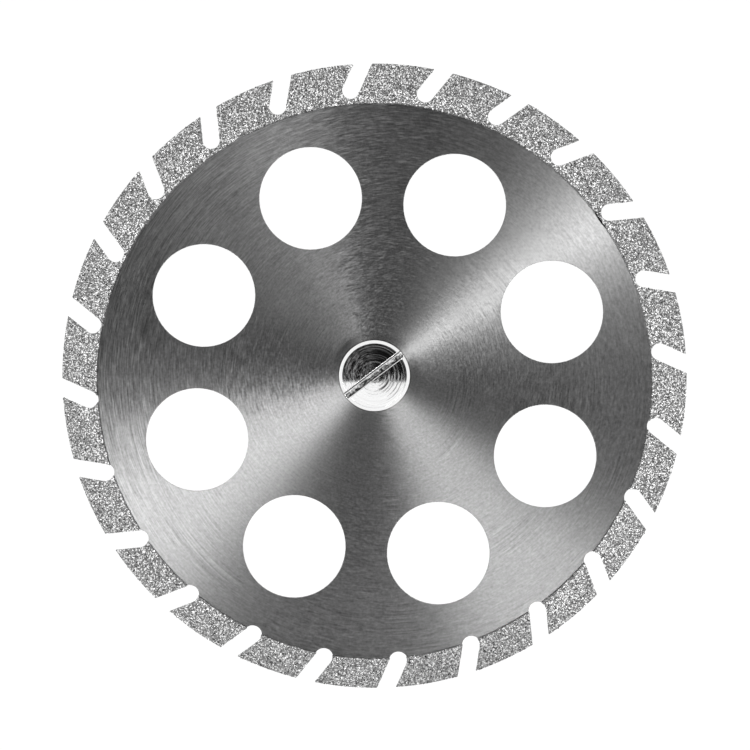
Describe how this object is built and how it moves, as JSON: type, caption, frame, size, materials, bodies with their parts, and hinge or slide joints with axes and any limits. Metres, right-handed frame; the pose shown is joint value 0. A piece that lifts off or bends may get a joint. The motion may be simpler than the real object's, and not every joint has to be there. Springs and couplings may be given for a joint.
{
  "type": "double-sided diamond disc",
  "caption": "Thin steel cutting disc with a diamond grit band on both faces, round openings and a slanted-slot rim, clamped on a straight-shank mandrel by a slotted screw.",
  "frame": {"origin": "on the rotation axis, at the tail end of the mandrel's shank", "axes": "+Z along the rotation axis from the shank's tail to the screw head, so the pictured face looks along +Z; +X to the right and +Y up in the picture"},
  "size_m": [0.045, 0.045, 0.0444],
  "materials": {
    "disc_steel": "circular brushed spring steel",
    "diamond_nickel": "coarse diamond grit in a matte nickel bond",
    "mandrel_steel": "turned and polished stainless steel",
    "screw_steel": "faced stainless steel with turning rings"
  },
  "bodies": {
    "root": {"disc_blank": "disc_steel", "diamond_layer": "diamond_nickel", "mandrel": "mandrel_steel", "clamp_screw": "screw_steel"}
  },
  "joints": []
}
